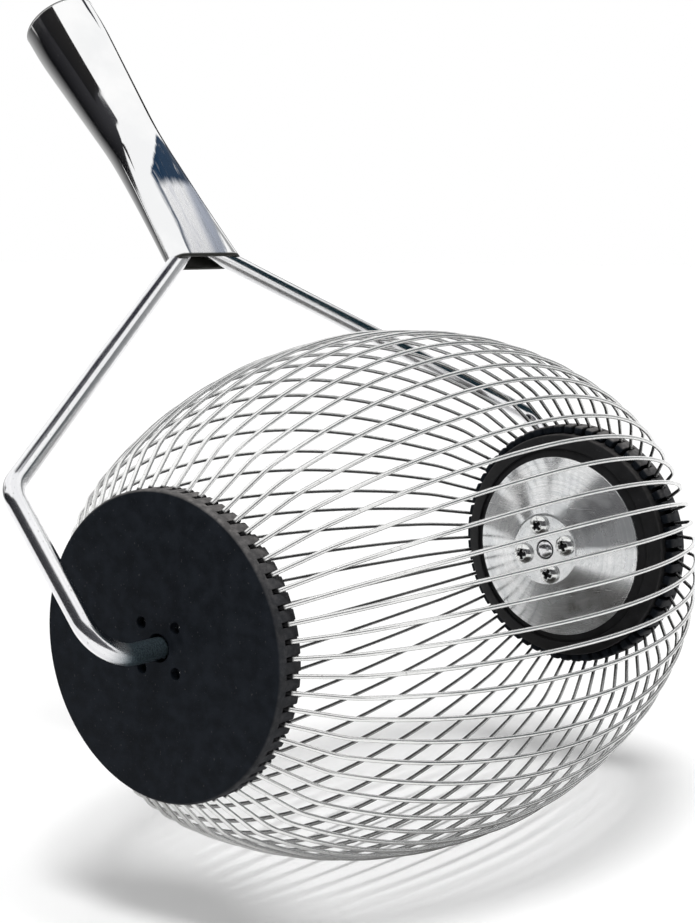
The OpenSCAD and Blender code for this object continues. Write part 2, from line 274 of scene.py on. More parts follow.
# plated metal on a drawn bar: fine lines along it, cloudy patches, small dull specks
def barMaterial(name, look):
    material, tree, shader, centred, where = startMaterial(name)
    alongUv = add(tree, "Mapping", {"Vector": where.outputs["UV"],
                                    "Scale": (look["lineAlong"], look["lineAcross"], 1)}).outputs[0]
    lines = noise(tree, alongUv, 1.0, 3.0, 0.6)
    cloud = noise(tree, centred, look["cloudScale"], 4.0)
    specks = noise(tree, centred, look["speckScale"], 1.0)
    speck = remap(tree, specks, *noiseSpan["speck"], 0, look["speckShare"])
    shade = maths(tree, "ADD", maths(tree, "MULTIPLY", lines, 0.5), maths(tree, "MULTIPLY", cloud, 0.5))
    base = mixColour(tree, remap(tree, shade, *noiseSpan["even"], 0, 1), look["dark"], look["pale"])
    colour = mixColour(tree, speck, base, look["speck"])
    roughness = maths(tree, "ADD", remap(tree, shade, *noiseSpan["broad"], 0, look["roughSpread"]),
                      maths(tree, "MULTIPLY", speck, look["speckRough"]))
    roughness = maths(tree, "ADD", roughness, look["rough"])
    u, v = add(tree, "SeparateXYZ", {0: where.outputs["UV"]}).outputs[:2]
    if "innerShade" in look:  # painted shade: the side of each wire towards the axle is darkened, as it lies in shade inside the cage
        outwards = maths(tree, "COSINE", maths(tree, "DIVIDE", v, look["barRadius"] * mm))
        innerShade = remap(tree, outwards, look["innerTo"], look["innerFrom"], 1, 0)
        colour = mixColour(tree, innerShade, colour, look["innerShade"])
    if "slotShade" in look:  # painted shade on both ends of each wire, where it lies deep in the slots; the ends are rougher too
        own = maths(tree, "MODULO", u, look["apart"])
        fromEnd = maths(tree, "MINIMUM", own, maths(tree, "SUBTRACT", look["long"], own))
        slotShaded = remap(tree, fromEnd, look["rootTo"] * mm, look["rootFrom"] * mm, 1, 0)
        colour = mixColour(tree, slotShaded, colour, look["slotShade"])
        roughness = maths(tree, "ADD", roughness, maths(tree, "MULTIPLY", slotShaded, look["rootRough"]))
    if "recess" in look:  # painted shade, dark in the depth of the cross
        deep = add(tree, "Attribute", attribute_name="recess").outputs["Fac"]
        colour = mixColour(tree, deep, colour, look["recess"])
    shader.inputs["Metallic"].default_value = look.get("metal", 1.0)
    if "dull" in look:  # bare steel at both ends of the bar, where it runs in the hubs
        fromEnd = maths(tree, "MINIMUM", u, maths(tree, "SUBTRACT", look["long"], u))
        bareSteelAndShade = remap(tree, fromEnd, look["dullTo"] * mm, look["dullFrom"] * mm, 1, 0)
        pastTip = remap(tree, fromEnd, look["tipTo"] * mm, look["tipFrom"] * mm, 0, 1)  # bright tips
        bareSteelAndShade = maths(tree, "MULTIPLY", bareSteelAndShade, pastTip)
        patchy = remap(tree, noise(tree, centred, look["dullScale"], 3.0, 0.6), *noiseSpan["even"], 0, 1)
        steel = mixColour(tree, patchy, look["dull"], look["dullPale"])
        colour = mixColour(tree, bareSteelAndShade, colour, steel)
        roughness = maths(tree, "ADD", roughness, maths(tree, "MULTIPLY", bareSteelAndShade, look["dullRough"]))
        metal = maths(tree, "SUBTRACT", 1.0, maths(tree, "MULTIPLY", bareSteelAndShade, look["dullLoss"]))
        tree.links.new(metal, shader.inputs["Metallic"])
    finishMaterial(tree, shader, colour, roughness, lines, look["bump"], look["depth"])
    return material


# the near and the far hub: which way each lies along the axle, and half the roller's length
hubs = {"right": {"sign": -1, "half": 128.0}, "left": {"sign": 1, "half": 128.0}}

# camera and light
cameraView = {"place": (0.4340, -0.5312, 0.22225), "target": (0.02120, 0.0, 0.13912),
              "sensor": 36.0, "focalPixels": 1815.5, "imageHigh": 923}
lens = bpy.data.cameras.new("photoCamera")
lens.sensor_fit = "VERTICAL"
lens.sensor_height = cameraView["sensor"]
lens.lens = cameraView["focalPixels"] / cameraView["imageHigh"] * cameraView["sensor"]
camera = bpy.data.objects.new("photoCamera", lens)
camera.location = cameraView["place"]
lookAlong = Vector(cameraView["target"]) - Vector(cameraView["place"])
camera.rotation_euler = lookAlong.to_track_quat("-Z", "Y").to_euler()
bpy.context.scene.collection.objects.link(camera)
bpy.context.scene.camera = camera
bpy.context.scene.view_settings.view_transform = "Standard"

studio = {"skyLight": 0.42, "keyLight": 2.2, "keyAngle": 20, "keyFrom": (0.25, -0.30, 1.20),
          "floorGrey": 0.90, "floorRough": 0.9, "floorLift": 0.11, "floorHalf": 12.0, "floorAt": -0.0002,
          "wallNear": 1.1, "wallColumns": 140}
# dark parts of the room that only reflections see: degrees from straight in front, heights in
# metres, and the colours at the first and the last of those angles; a top is level unless it has turns
roomWalls = {
    "roomFront": {"turn": (-62, 84), "low": 0.0,
                  "topTurn": (-62, -57, -50, -40, -31, -22, -10, -4, 0, 5, 8),
                  "top": (0.34, 0.39, 0.49, 0.62, 0.74, 0.81, 0.83, 0.91, 1.00, 1.08, 1.08),
                  "first": (0.005, 0.005, 0.006), "last": (0.10, 0.10, 0.11)},
    "roomLow": {"turn": (-130, -62), "low": 0.0, "top": (0.30,),
                "first": (0.70, 0.70, 0.70), "last": (0.005, 0.005, 0.006)},
    "roomStreak": {"turn": (-74, -59), "low": 0.39, "top": (0.60,),
                   "first": (0.01, 0.01, 0.01), "last": (0.01, 0.01, 0.01)},
    "roomHigh": {"turn": (182, 246), "low": 1.22, "top": (2.90,),
                 "first": (0.03, 0.03, 0.04), "last": (0.01, 0.01, 0.02)},
    "roomBack": {"turn": (98, 150), "low": 0.0, "top": (1.35,),
                 "first": (0.010, 0.024, 0.032), "last": (0.010, 0.022, 0.028)},
    "roomFade": {"turn": (150, 180), "low": 0.0, "top": (1.00,),
                 "first": (0.010, 0.022, 0.028), "last": (0.50, 0.50, 0.50)},
    "roomEdge": {"turn": (-166, -150), "low": 0.45, "top": (0.80,),
                 "first": (0.01, 0.01, 0.01), "last": (0.01, 0.01, 0.01)}}
world = bpy.data.worlds.new("studio")
world.use_nodes = True
sky = world.node_tree
sky.nodes.clear()
path = add(sky, "LightPath").outputs
seen = maths(sky, "MAXIMUM", path["Is Camera Ray"],
             maths(sky, "MAXIMUM", path["Is Glossy Ray"], path["Is Transmission Ray"]))
backdrop = add(sky, "Background", {"Color": grey(1.0), "Strength": 1.0})
ambient = add(sky, "Background", {"Color": grey(1.0), "Strength": studio["skyLight"]})
mixed = add(sky, "MixShader", {0: seen, 1: ambient.outputs[0], 2: backdrop.outputs[0]})
add(sky, "OutputWorld", {"Surface": mixed.outputs[0]})
bpy.context.scene.world = world
lamp = bpy.data.lights.new("softKey", "SUN")
lamp.energy = studio["keyLight"]
lamp.angle = math.radians(studio["keyAngle"])
key = bpy.data.objects.new("softKey", lamp)
key.rotation_euler = Vector(studio["keyFrom"]).to_track_quat("Z", "Y").to_euler()
key.visible_glossy = False  # mirrors show the room and not the lamp
bpy.context.scene.collection.objects.link(key)


# open grid of the stage: quads between neighbouring rows and columns
def stagePiece(name, points, material):
    rows, cols = points.shape[:2]
    r, c = np.meshgrid(np.arange(rows - 1), np.arange(cols - 1), indexing="ij")
    quads = np.stack([r * cols + c, r * cols + c + 1, (r + 1) * cols + c + 1, (r + 1) * cols + c], -1)
    mesh = bpy.data.meshes.new(name)
    mesh.from_pydata(points.reshape(-1, 3).tolist(), [], quads.reshape(-1, 4).tolist())
    made = bpy.data.objects.new(name, mesh)
    made.data.materials.append(material)
    bpy.context.scene.collection.objects.link(made)
    return made


floorMaterial, tree, shader = startMaterial("paleFloor")[:3]
shader.inputs["Base Color"].default_value = grey(studio["floorGrey"])
shader.inputs["Roughness"].default_value = studio["floorRough"]
shader.inputs["Specular IOR Level"].default_value = 0.0
shader.inputs["Emission Color"].default_value = grey(1.0)
lift = maths(tree, "MULTIPLY", add(tree, "LightPath").outputs["Is Camera Ray"], studio["floorLift"])
tree.links.new(lift, shader.inputs["Emission Strength"])
half = studio["floorHalf"]
gx, gy = np.meshgrid([-half, half], [-half, half])
stagePiece("floor", np.stack([gx, gy, np.full(gx.shape, studio["floorAt"])], -1), floorMaterial)

wallMaterial, tree, shader = startMaterial("roomWall")[:3]
shader.inputs["Base Color"].default_value = grey(0.0)
shader.inputs["Specular IOR Level"].default_value = 0.0
shader.inputs["Emission Strength"].default_value = 1.0
tone = add(tree, "Attribute", attribute_name="tone").outputs["Color"]
tree.links.new(tone, shader.inputs["Emission Color"])


# stage piece for reflections alone, its tone running from the first colour to the last by a share
def mirroredPiece(name, points, share, first, last):
    made = stagePiece(name, points, wallMaterial)
    tones = (1 - share) * np.array(first + (1,)) + share * np.array(last + (1,))
    layer = made.data.color_attributes.new("tone", "FLOAT_COLOR", "POINT")
    layer.data.foreach_set("color", tones.ravel())
    made.visible_camera = False
    made.visible_diffuse = False
    made.visible_shadow = False


# parts of an upright cylinder: an angle from straight in front, and a height
for name, part in roomWalls.items():
    turn = np.linspace(*part["turn"], studio["wallColumns"])
    a = np.radians(np.stack([turn, turn]))
    top = np.interp(turn, part.get("topTurn", (0,)), part["top"])
    h = np.stack([np.full(len(turn), part["low"]), top])
    points = np.stack([studio["wallNear"] * np.sin(a), -studio["wallNear"] * np.cos(a), h], -1)
    share = np.tile(np.linspace(0, 1, len(turn)), 2)[:, None]
    mirroredPiece(name, points, share, part["first"], part["last"])
# dark card beside the socket's mouth: a flat oblong along two directions
mouthCard = {"middle": (-0.12168, -0.07467, 0.33691), "along": (-0.700, 0.437, 0.565),
             "across": (-0.714, -0.396, -0.578), "half": (0.03175, 0.0295),
             "first": (0.022, 0.021, 0.021), "last": (0.012, 0.012, 0.013)}
u, v = np.meshgrid((-1, 1), (-1, 1), indexing="ij")
points = (np.array(mouthCard["middle"])
          + mouthCard["half"][0] * u[..., None] * np.array(mouthCard["along"])
          + mouthCard["half"][1] * v[..., None] * np.array(mouthCard["across"]))
mirroredPiece("mouthCard", points, (v.reshape(-1, 1) + 1) / 2, mouthCard["first"], mouthCard["last"])
# shade under the cage: an ellipse on the floor, dark in the middle
under = {"middle": (0.065, 0.03), "reach": (0.125, 0.115), "lift": 0.0004, "rows": 6, "turns": 49,
         "fade": 4, "first": (0.03, 0.028, 0.026), "last": (0.45, 0.45, 0.45)}
ring, a = np.meshgrid(np.linspace(0, 1, under["rows"]), np.linspace(0, 2 * math.pi, under["turns"]),
                      indexing="ij")
points = np.stack([under["middle"][0] + under["reach"][0] * ring * np.cos(a),
                   under["middle"][1] + under["reach"][1] * ring * np.sin(a),
                   np.full(a.shape, under["lift"])], -1)
mirroredPiece("roomUnder", points, ring.reshape(-1, 1) ** under["fade"], under["first"], under["last"])
print("camera, light and floor are set")

# fork: one bent bar with domed ends
forkBar = {"radius": 3.5, "stubEnd": 99.87, "armSide": 152.0, "stubBend": 14.0, "cornerReach": 63.4,
           "cornerBend": 10.0, "bridgeReach": 152.35, "bridgeBend": 8.0, "dome": 1.4, "domeRows": 8,
           "sides": 56}


# domed end of the bar: a quarter of an ellipse from the tip to the full radius
def domeTurn(bar):
    return np.linspace(0, math.pi / 2, bar["domeRows"])


def domeRun(bar):
    high = bar["stubEnd"] + bar["dome"] * (1 - np.cos(domeTurn(bar)))
    points = np.stack([np.zeros_like(high), high], -1)
    return points, np.repeat([[0.0, 1.0]], len(high), 0)


# half of the fork in its plane: stub, stub bend, arm, corner bend, upper arm and half the bridge; the
# last number of each run is its count of points
def forkPath(bar):
    armSide, bridge = bar["armSide"], bar["bridgeReach"]
    rise = bridge - bar["cornerReach"]
    tilt = math.degrees(math.atan2(rise, armSide)
                        + math.asin(bar["bridgeBend"] / math.hypot(rise, armSide)))
    cornerStart = bar["cornerReach"] - bar["cornerBend"] * math.tan(math.radians(90 - tilt) / 2)
    cornerMid = (cornerStart, armSide - bar["cornerBend"])
    stubMid = (bar["stubBend"], armSide - bar["stubBend"])
    way = np.array([math.cos(math.radians(tilt)), math.sin(math.radians(tilt))])
    upper = cornerMid + bar["cornerBend"] * way
    top = np.array([bridge, 0]) + bar["bridgeBend"] * way
    return mirroredPath([
        domeRun(bar),
        lineRun((0, bar["stubEnd"] + bar["dome"]), (0, stubMid[1]), 8),
        arcRun(stubMid, bar["stubBend"], 180, 90, 24),
        lineRun((stubMid[0], armSide), (cornerStart, armSide), 10),
        arcRun(cornerMid, bar["cornerBend"], 90, tilt, 18),
        lineRun(upper, top, 24),
        arcRun((bridge, 0), bar["bridgeBend"], tilt, 0, 14)])


points, ways = forkPath(forkBar)
radius = np.full(len(points), forkBar["radius"])
radius[:forkBar["domeRows"]] *= np.sin(domeTurn(forkBar))
radius[-forkBar["domeRows"]:] *= np.sin(domeTurn(forkBar))[::-1]
reach, side, face = tubeGrid(points, ways, radius, forkBar["sides"])
around = mm * 2 * math.pi * forkBar["radius"]
forkRod = surfacePiece("forkRod", onFork(reach, side, face)[None], wrapCols=True,
                       uv=(walked(points)[None], around))
rodLook = {"dark": (0.84, 0.84, 0.86, 1), "pale": (0.97, 0.97, 0.98, 1), "speck": (0.32, 0.31, 0.30, 1),
           "lineAlong": 12, "lineAcross": 900, "cloudScale": 55, "speckScale": 900, "speckShare": 0.5,
           "speckRough": 0.2, "rough": 0.12, "roughSpread": 0.08, "bump": 0.10, "depth": 0.00003,
           "long": walked(points)[-1], "dull": (0.058, 0.084, 0.100, 1),
           "dullPale": (0.125, 0.170, 0.195, 1), "dullScale": 1900, "dullTo": 41, "dullFrom": 50,
           "dullRough": 0.16, "dullLoss": 0.25, "tipTo": 4, "tipFrom": 8}
settlePiece(forkRod, barMaterial("rodChrome", rodLook), "handle", "fork_rod")
print("fork rod done")

# socket: sheet that is round at the mouth and flattens towards the lip
socketShell = {"lipReach": 151.75, "long": 124.6, "waistAt": 62.3, "seatAt": 112.6, "mouthRadius": 15.3,
               "waistRadius": 11.6, "lipRadius": 4.76, "lipMid": 14.84, "sheet": 1.2, "edge": 0.1,
               "flatPower": 1.2, "soften": 5.0, "samples": 9, "crowd": 0.36, "edgeOut": 0.25, "rimRows": 5,
               "rows": 150, "cols": 220}


# radius and half width of the flats at a height above the lip; the kinks are softened by an average
def socketSection(shell, height):
    def raw(at):
        low = np.clip(at / shell["waistAt"], 0, 1)
        high = np.clip((at - shell["waistAt"]) / (shell["seatAt"] - shell["waistAt"]), 0, 1)
        size = (shell["lipRadius"] + (shell["waistRadius"] - shell["lipRadius"]) * low
                + (shell["mouthRadius"] - shell["waistRadius"]) * high)
        return size, shell["lipMid"] * (1 - low) ** shell["flatPower"]

    near = np.minimum(np.minimum(height, shell["long"] - height), shell["soften"])
    spread = np.linspace(-1, 1, shell["samples"])
    sizes, mids = raw(height[:, None] + near[:, None] * spread)
    return sizes.mean(1), mids.mean(1)


# section: circle of the given radius, its two halves pulled apart along the axle by the half width
def socketSide(shell, height, inset):
    size, mid = socketSection(shell, height)
    t = np.linspace(0, 2 * math.pi, shell["cols"], endpoint=False)
    t = t - shell["crowd"] * np.sin(2 * t)  # more columns on the flats
    pull = np.sin(t) / np.sqrt(np.sin(t) ** 2 + shell["edge"] ** 2)
    faceway = (size[:, None] - inset[:, None]) * np.cos(t)
    sideway = (size[:, None] - inset[:, None]) * np.sin(t) + mid[:, None] * pull
    return faceway, sideway


rows = socketShell["rows"]
heights = np.linspace(0, socketShell["long"], rows)
rim = np.linspace(0, math.pi, socketShell["rimRows"] + 2)[1:-1]
halfSheet = socketShell["sheet"] / 2
# outside from lip to mouth, round the mouth's edge, inside back to the lip, round the lip's edge
upDown = np.concatenate([heights, np.full(len(rim), heights[-1]), heights[::-1], np.zeros(len(rim))])
inset = np.concatenate([np.zeros(rows), halfSheet * (1 - np.cos(rim)), np.full(rows, 2 * halfSheet),
                        halfSheet * (1 + np.cos(rim))])
bead = socketShell["edgeOut"] * np.sin(rim)
bulge = np.concatenate([np.zeros(rows), bead, np.zeros(rows), -bead])
faceway, sideway = socketSide(socketShell, upDown, inset)
reach = socketShell["lipReach"] + upDown + bulge
reachGrid = np.repeat(reach[:, None], socketShell["cols"], 1)
roundSheet = np.linspace(0, 1, len(reach) + 1)  # share of the way up the outside and down the inside
poleSocket = surfacePiece("poleSocket", onFork(reachGrid, sideway, faceway)[None], True, True,
                          uv=(roundSheet[None], 1.0), sharp=60)


# chromed sheet: clear mirror, a painted dark-blue reflection where the flat begins, rubbed bright and
# streaky down to the lip
def socketMaterial(look):
    material, tree, shader, centred, where = startMaterial("socketChrome")

    def along(way):
        dot = add(tree, "VectorMath", {0: centred, 1: tuple(way)}, operation="DOT_PRODUCT")
        return dot.outputs["Value"]

    def span(key):
        return look[key][0] * mm, look[key][1] * mm

    reach, side, face = along(reachDir), along(sideDir), along(faceDir)
    fromLip = maths(tree, "SUBTRACT", reach, socketShell["lipReach"] * mm)
    ownFrame = add(tree, "CombineXYZ", {0: fromLip, 1: side, 2: face}).outputs[0]
    streakAt = add(tree, "Mapping", {"Vector": ownFrame, "Scale": look["streakScale"]}).outputs[0]
    streak = noise(tree, streakAt, 1.0, 5.0, 0.65)
    cloud = noise(tree, centred, look["cloudScale"], 4.0)
    ragged = maths(tree, "MULTIPLY", maths(tree, "SUBTRACT", streak, 0.5), look["ragged"] * mm)
    # the marked strip widens from a tip to its full width and keeps that down to the lip
    fromTip = maths(tree, "SUBTRACT", look["flatTip"] * mm, fromLip)
    grown = maths(tree, "MULTIPLY", fromTip, look["flatSpread"])
    widthHere = maths(tree, "MINIMUM", grown, look["flatHalf"] * mm)
    leaning = maths(tree, "MULTIPLY", fromLip, look["flatLean"])
    middle = maths(tree, "ADD", leaning, look["flatMiddle"] * mm)
    toRight = maths(tree, "SUBTRACT", side, middle)
    offMiddle = maths(tree, "ABSOLUTE", toRight)
    inFlat = maths(tree, "ADD", maths(tree, "SUBTRACT", widthHere, offMiddle), ragged)
    flat = remap(tree, inFlat, *span("flatSoft"), 0, 1)
    onFront = remap(tree, face, *span("frontSoft"), 0, 1)
    flat = maths(tree, "MULTIPLY", flat, onFront)
    rubbedAt = maths(tree, "ADD", fromLip, maths(tree, "MULTIPLY", ragged, look["raggedEnd"]))
    rubbed = remap(tree, rubbedAt, *span("rubbed"), 0, 1)
    clouded = remap(tree, cloud, *noiseSpan["even"], 0, 1)
    chrome = mixColour(tree, clouded, look["dark"], look["pale"])
    streaked = remap(tree, streak, *noiseSpan["worn"], 0, 1)
    worn = mixColour(tree, streaked, look["wornDark"], look["wornPale"])
    tinted = remap(tree, maths(tree, "ADD", toRight, ragged), *span("tint"), 0, look["tintShare"])
    worn = mixColour(tree, tinted, worn, look["wornTint"])
    # painted reflection: dark blue on the flat above the rubbed part, broken by scuffs, and along its
    # crease
    scuffed = remap(tree, streak, *noiseSpan["blueReflection"], 0, look["scuffShare"])
    blueReflection = mixColour(tree, scuffed, look["blue"], look["wornPale"])
    inside = mixColour(tree, rubbed, worn, blueReflection)
    crease = remap(tree, inFlat, *span("creaseSoft"), look["creaseShare"], 0)
    crease = maths(tree, "MULTIPLY", crease, remap(tree, side, *span("creaseSide"), 1, 0))
    inside = mixColour(tree, crease, inside, look["blue"])
    colour = mixColour(tree, flat, chrome, inside)
    # painted shade on the cut edges at lip and mouth and on the inside of the sheet
    lipEdge = remap(tree, fromLip, *span("lipEdge"), 1, 0)
    fromMouth = maths(tree, "SUBTRACT", socketShell["long"] * mm, fromLip)
    mouthEdge = remap(tree, fromMouth, *span("mouthEdge"), 1, 0)
    cutEdge = maths(tree, "MAXIMUM", lipEdge, mouthEdge)
    u = add(tree, "SeparateXYZ", {0: where.outputs["UV"]}).outputs[0]
    bareSteelAndShade = maths(tree, "MAXIMUM", cutEdge, remap(tree, u, *look["insideFrom"], 0, 1))
    colour = mixColour(tree, bareSteelAndShade, colour, look["bareSteelAndShade"])
    smooth = remap(tree, cloud, *noiseSpan["broad"], *look["rough"])
    dull = remap(tree, streak, *noiseSpan["broad"], *look["wornRough"])
    roughness = add(tree, "Mix", {0: flat, 2: smooth, 3: dull}).outputs[0]
    roughness = maths(tree, "ADD", roughness, maths(tree, "MULTIPLY", bareSteelAndShade, look["bareRough"]))
    metal = maths(tree, "SUBTRACT", 1.0, maths(tree, "MULTIPLY", bareSteelAndShade, look["bareLoss"]))
    tree.links.new(metal, shader.inputs["Metallic"])
    height = maths(tree, "MULTIPLY", streak, flat)
    finishMaterial(tree, shader, colour, roughness, height, look["bump"], look["depth"])
    return material


socketLook = {"dark": (0.90, 0.905, 0.91, 1), "pale": (0.98, 0.98, 0.98, 1), "cloudScale": 40,
              # the dark blue on the next line is a painted reflection on the flat
              "blue": (0.010, 0.034, 0.075, 1), "scuffShare": 0.6, "wornPale": (0.95, 0.95, 0.96, 1),
              "wornDark": (0.58, 0.59, 0.63, 1), "wornTint": (0.27, 0.31, 0.40, 1), "tint": (1.0, 6.0),
              "tintShare": 0.75, "streakScale": (26, 420, 420), "ragged": 4.0, "raggedEnd": 2.0,
              "flatTip": 57, "flatSpread": 0.60, "flatHalf": 11.0, "flatMiddle": -1.3, "flatLean": 0.055,
              "flatSoft": (-0.4, 1.0), "frontSoft": (1.0, 3.0), "rubbed": (31, 36), "creaseShare": 0.9,
              "creaseSoft": (0.8, 2.4), "creaseSide": (-4.0, -1.0), "lipEdge": (0.5, 1.2),
              # the near-black colour on the next line is painted shade for the cut edges and the inside
              "mouthEdge": (0.0, 1.0), "insideFrom": (0.49, 0.495), "bareSteelAndShade": (0.022, 0.022, 0.018, 1),
              "bareRough": 0.4, "bareLoss": 0.8, "rough": (0.04, 0.09), "wornRough": (0.17, 0.32),
              "bump": 0.25, "depth": 0.00006}
settlePiece(poleSocket, socketMaterial(socketLook), "handle", "socket")
print("pole socket done")

# cage: sixty sprung wires, each a long arc between two shoulders, straight ends and clamped tails
wireCage = {"count": 60, "radius": 0.75, "cageRadius": 94.0, "splay": 46.0, "straight": 19.0,
            "shoulder": 25.0, "tailBend": 3.0, "tailOut": 46.8, "tailLong": 10.0, "tailSide": 124.3,
            "sides": 12, "perNode": 5, "sway": 0.6, "lean": 0.4, "sink": 0.6, "freeHalf": 112, "seed": 11}


# half of a wire in its plane, radius from the axle and distance along it; the long arc's radius
# follows from the shoulder's centre and the cage's own radius
def wirePath(cage):
    splay = math.radians(cage["splay"])
    way = np.array([math.sin(splay), -math.cos(splay)])
    turn = cage["tailBend"] * math.tan((math.pi / 2 - splay) / 2)
    corner = np.array([cage["tailOut"] + turn, cage["tailSide"]])
    start, end = corner + turn * way, corner + cage["straight"] * way
    shoulder = end - cage["shoulder"] * np.array([math.cos(splay), math.sin(splay)])
    sink = cage["cageRadius"] - shoulder[0]
    crown = (shoulder[1] ** 2 + sink ** 2 - cage["shoulder"] ** 2) / (2 * (sink - cage["shoulder"]))
    spread = math.degrees(math.asin(shoulder[1] / (crown - cage["shoulder"])))
    tail = cage["tailOut"] - cage["tailLong"]
    return mirroredPath([
        lineRun((tail, cage["tailSide"]), (cage["tailOut"], cage["tailSide"]), 3),
        arcRun((cage["tailOut"], cage["tailSide"] - cage["tailBend"]), cage["tailBend"], 90,
               cage["splay"], 6),
        lineRun(start, end, 5),
        arcRun(shoulder, cage["shoulder"], cage["splay"], spread, 6),
        arcRun((cage["cageRadius"] - crown, 0), crown, spread, 0, 22)])


points, ways = wirePath(wireCage)
points = np.concatenate([points[:1], points, points[-1:]])
ways = np.concatenate([ways[:1], ways, ways[-1:]])
radius = np.full(len(points), wireCage["radius"])
radius[[0, -1]] = 0
out, side, across = tubeGrid(points, ways, radius, wireCage["sides"])
# each wire is a little off true: it sways, leans and sinks by its own small amount away from its ends
draw = np.random.default_rng(wireCage["seed"]).uniform(-1, 1, (wireCage["count"], 3))
fromMiddle = np.clip(side / wireCage["freeHalf"], -1, 1)
free = np.cos(fromMiddle * math.pi / 2) ** 2
tilt = np.sin(fromMiddle * math.pi) * free
angles = np.radians(360 / wireCage["count"] * (np.arange(wireCage["count"]) + 0.5))[:, None, None]
outAll = out - wireCage["sink"] * np.abs(draw[:, 2])[:, None, None] * free
acrossAll = (across + wireCage["sway"] * draw[:, 0, None, None] * free
             + wireCage["lean"] * draw[:, 1, None, None] * tilt)
x = outAll * np.cos(angles) - acrossAll * np.sin(angles)
z = outAll * np.sin(angles) + acrossAll * np.cos(angles)
cagePoints = axle + mm * np.stack([x, np.broadcast_to(side, x.shape), z], -1)
wireLook = {"dark": (0.86, 0.86, 0.85, 1), "pale": (0.97, 0.97, 0.96, 1), "speck": (0.36, 0.35, 0.33, 1),
            "lineAlong": 25, "lineAcross": 1500, "cloudScale": 120, "speckScale": 700, "speckShare": 0.4,
            "speckRough": 0.2, "rough": 0.14, "roughSpread": 0.08, "bump": 0.03, "depth": 0.00003,
            # the dark grey colour on the next line is painted shade for the wires' side towards the axle
            "metal": 0.8, "innerShade": (0.085, 0.085, 0.085, 1), "innerTo": -0.97, "innerFrom": -0.5,
            # the near-black colour on the next line is painted shade for the wire ends deep in the slots
            "barRadius": wireCage["radius"], "slotShade": (0.012, 0.012, 0.013, 1), "rootTo": 13.6,
            "rootFrom": 14.6, "rootRough": 0.4, "long": walked(points)[-1], "apart": 0.7}
wireMaterial = barMaterial("springWire", wireLook)
around = mm * 2 * math.pi * wireCage["radius"]
for group in range(wireCage["count"] // wireCage["perNode"]):
    first = group * wireCage["perNode"]
    picked = cagePoints[first:first + wireCage["perNode"]]
    along = walked(points)[None] + wireLook["apart"] * (first + np.arange(wireCage["perNode"]))[:, None]
    wires = surfacePiece("sprungWires%02d" % (group + 1), picked, wrapCols=True, uv=(along, around))
    settlePiece(wires, wireMaterial, "roller", "wires_%02d" % (group + 1))
print("sprung wires done")

# discs: plain flange, sixty teeth with a slot for each wire between them, open holes
discForm = {"outer": 50.0, "hole": 4.5, "flange": 4.5, "top": 10.5, "toothIn": 46.7, "slotHalf": 0.85,
            "slotFloor": 2.9, "slotIn": 36.3, "slotClear": 1.0, "kink": 0.02, "teeth": 60, "ease": 0.3,
            "easeMid": 0.3, "easeRise": 0.5, "rimRound": 1.2, "tipRound": 1.6, "edgeRound": 0.3,
            "roundSteps": 7, "screwCircle": 10.2, "screwHole": 2.04, "holeSides": 40, "overrun": 1.0,
            "screwTurn": {"right": 45.0, "left": 15.0}}


# disc as rows along its outline and columns round the axle: a tooth's column follows the outline, a
# slot's column is held down to the slot's floor, and columns beside a slot are drawn in to ease its edge
def slottedDisc(form, hub):
    kink, edge = form["kink"], form["edgeRound"]
    outline = roundedLoop(
        [(form["hole"], 0), (form["outer"], 0), (form["outer"], form["top"]),
         (form["toothIn"], form["top"]), (form["toothIn"], form["flange"]),
         (form["slotIn"] + kink, form["flange"]), (form["slotIn"] - kink, form["flange"]),
         (form["hole"], form["flange"])],
        [edge, form["rimRound"], form["tipRound"], edge, edge, 0, 0, edge], form["roundSteps"])
    before, after = np.roll(outline, 1, 0), np.roll(outline, -1, 0)
    way = (after - before) / np.linalg.norm(after - before, axis=1)[:, None]
    inwards = np.stack([-way[:, 1], way[:, 0]], -1)
    r, z = outline.T
    inTeeth = r > form["slotIn"] + form["slotClear"]
    raised = np.clip((z - form["slotFloor"]) / form["easeRise"], 0, 1) * inTeeth
    slotZ = np.where((r > form["slotIn"]) & (z > form["slotFloor"]), form["slotFloor"], z)
    ease, half, mid = form["ease"], form["slotHalf"], form["easeMid"] * form["ease"]
    # columns from a slot's middle to a tooth's middle: how far past the wall, how much drawn in, and
    # whether it is in the slot
    past = np.array([-half, 0.0, 0.0, mid, ease])
    drawn = np.array([0.0, 0.0, ease, mid, 0.0])
    isSlot = np.array([1, 1, 0, 0, 0], bool)
    past, drawn, isSlot = (np.concatenate([c, c[-1:], c[:0:-1]]) for c in (past, drawn, isSlot))
    rr = r[:, None] + inwards[:, :1] * drawn * raised[:, None]
    zz = np.where(isSlot, slotZ[:, None], z[:, None] + inwards[:, 1:] * drawn * raised[:, None])
    pitch = 2 * math.pi / form["teeth"]
    turn = np.arcsin((half + past) / np.maximum(rr, form["slotIn"]))
    turn[:, 5] = pitch / 2  # the tooth's middle, then the other half mirrored
    turn[:, 6:] = pitch - turn[:, 6:]
    step = pitch * (np.arange(form["teeth"]) + 0.5)
    angle = (turn[:, None, :] + step[None, :, None]).reshape(len(r), -1)
    rr = np.repeat(rr[:, None, :], form["teeth"], 1).reshape(len(r), -1)
    zz = np.repeat(zz[:, None, :], form["teeth"], 1).reshape(len(r), -1)
    return onHub(hub, rr, angle, zz)


